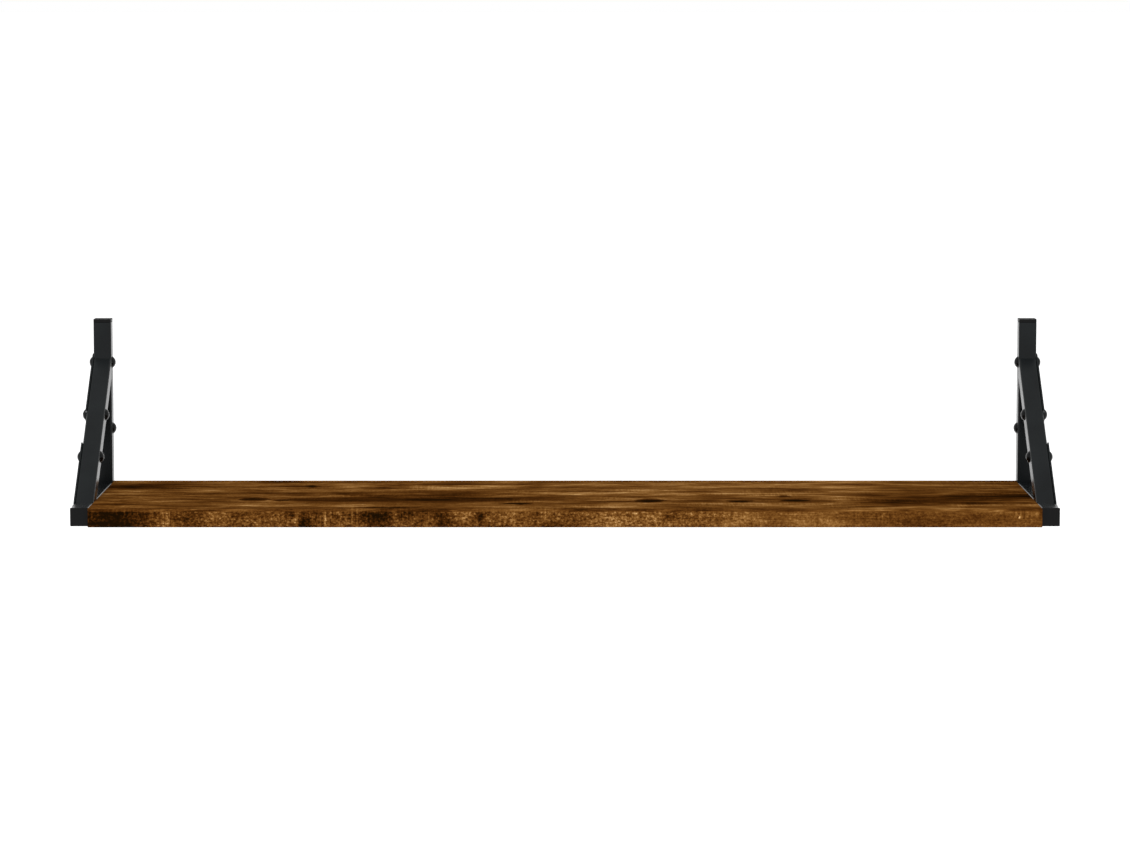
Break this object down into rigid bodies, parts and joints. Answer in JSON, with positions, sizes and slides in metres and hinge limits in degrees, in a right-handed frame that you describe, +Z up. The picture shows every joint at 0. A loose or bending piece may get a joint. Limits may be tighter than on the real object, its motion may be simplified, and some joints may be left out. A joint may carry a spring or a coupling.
{
  "type": "wall shelf with brackets",
  "caption": "Wall shelf: a dark oak laminate board between two square steel tube brackets, each with an upright, an arm, a diagonal brace and riveted corner plates.",
  "frame": {"origin": "centre of the four wall keyholes, on the wall plane, midway between the brackets", "axes": "+X along the shelf to the right as seen from the room, +Y into the wall, +Z up; the shelf reaches out towards -Y"},
  "size_m": [0.8086, 0.2, 0.1545],
  "materials": {
    "smoked_oak_laminate": "satin",
    "chipboard": "raw",
    "black_powder_coat": "satin powder coat",
    "black_rivet": "satin powder coat",
    "black_cap_plastic": "moulded",
    "black_zinc": "black zinc"
  },
  "bodies": {
    "root": {"board_core": "chipboard", "top_laminate": "smoked_oak_laminate", "bottom_laminate": "smoked_oak_laminate", "front_edge_band": "smoked_oak_laminate", "rear_edge_band": "smoked_oak_laminate", "left_end_band": "smoked_oak_laminate", "right_end_band": "smoked_oak_laminate", "left_upright_tube": "black_powder_coat", "left_arm_tube": "black_powder_coat", "left_diagonal_brace": "black_powder_coat", "left_upper_gusset": "black_powder_coat", "left_lower_gusset": "black_powder_coat", "left_upright_top_cap": "black_cap_plastic", "left_upright_bottom_cap": "black_cap_plastic", "left_arm_front_cap": "black_cap_plastic", "left_rivets": "black_rivet", "left_board_screws": "black_zinc", "right_upright_tube": "black_powder_coat", "right_arm_tube": "black_powder_coat", "right_diagonal_brace": "black_powder_coat", "right_upper_gusset": "black_powder_coat", "right_lower_gusset": "black_powder_coat", "right_upright_top_cap": "black_cap_plastic", "right_upright_bottom_cap": "black_cap_plastic", "right_arm_front_cap": "black_cap_plastic", "right_rivets": "black_rivet", "right_board_screws": "black_zinc"}
  },
  "joints": []
}
